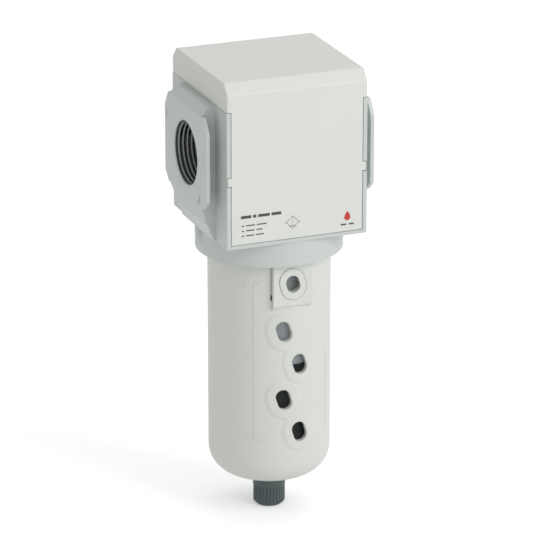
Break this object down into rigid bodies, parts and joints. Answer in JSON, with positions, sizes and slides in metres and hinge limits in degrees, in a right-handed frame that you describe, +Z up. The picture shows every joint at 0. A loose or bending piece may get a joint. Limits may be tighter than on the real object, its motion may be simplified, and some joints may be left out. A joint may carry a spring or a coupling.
{
  "type": "compressed air filter",
  "caption": "In-line compressed air filter: square ported head with moulded hood, bayonet bowl guard with slanted sight windows, clear inner bowl and fluted drain knob.",
  "frame": {"origin": "centre of the inlet port's mouth, on the inlet flange face", "axes": "+X along the port axis from inlet to outlet, +Z up along the bowl's axis, the label side faces -Y"},
  "size_m": [0.0895, 0.076, 0.2402],
  "materials": {
    "head_paint": "satin die-cast aluminium, bluish light grey paint",
    "hood_plastic": "fine satin moulded plastic, warm light grey",
    "vane_plastic": "moulded black plastic",
    "gasket_rubber": "nitrile rubber",
    "sintered_media": "porous sintered polyethylene, matt off-white",
    "baffle_plastic": "moulded light grey plastic",
    "steel": "zinc-plated steel",
    "clear_polycarbonate": "transparent polycarbonate",
    "guard_plastic": "satin moulded plastic, warm light grey",
    "knob_plastic": "glass-filled plastic, dark green grey",
    "brass_bright": "machined brass"
  },
  "bodies": {
    "head": {"head_body": "head_paint", "top_cover": "hood_plastic", "vane_ring": "vane_plastic", "element_top_gasket": "gasket_rubber", "filter_element": "sintered_media", "element_bottom_gasket": "gasket_rubber", "baffle": "baffle_plastic", "tie_rod": "steel", "tie_rod_nut": "baffle_plastic"},
    "bowl": {"bowl_guard": "guard_plastic", "clear_bowl": "clear_polycarbonate", "bowl_o_ring": "gasket_rubber", "lock_springs": "steel", "drain_gasket": "gasket_rubber", "drain_body": "knob_plastic", "drain_nut": "knob_plastic", "drain_spring": "steel"},
    "lock": {"bowl_lock": "guard_plastic"},
    "valve": {"drain_valve": "brass_bright", "drain_valve_seal": "gasket_rubber", "knob_clip": "steel"},
    "knob": {"drain_knob": "knob_plastic"}
  },
  "joints": [
    {"name": "bowl_turn", "type": "hinge", "parent": "head", "child": "bowl", "pos_m": [0.04475, 0, -0.0455], "axis": [0, 0, 1], "range_deg": [0, 50]},
    {"name": "lock_slide", "type": "slide", "parent": "bowl", "child": "lock", "axis": [0, 0, -1], "range_m": [0, 0.0025], "stiffness_N_per_m": 400, "springref_m": -0.004, "deforming": ["lock_springs"]},
    {"name": "drain_push", "type": "slide", "parent": "bowl", "child": "valve", "axis": [0, 0, 1], "range_m": [0, 0.0025], "stiffness_N_per_m": 600, "springref_m": -0.004, "deforming": ["drain_spring"]},
    {"name": "knob_turn", "type": "hinge", "parent": "valve", "child": "knob", "pos_m": [0.04475, 0, -0.187], "axis": [0, 0, 1], "range_deg": [0, 90]}
  ]
}
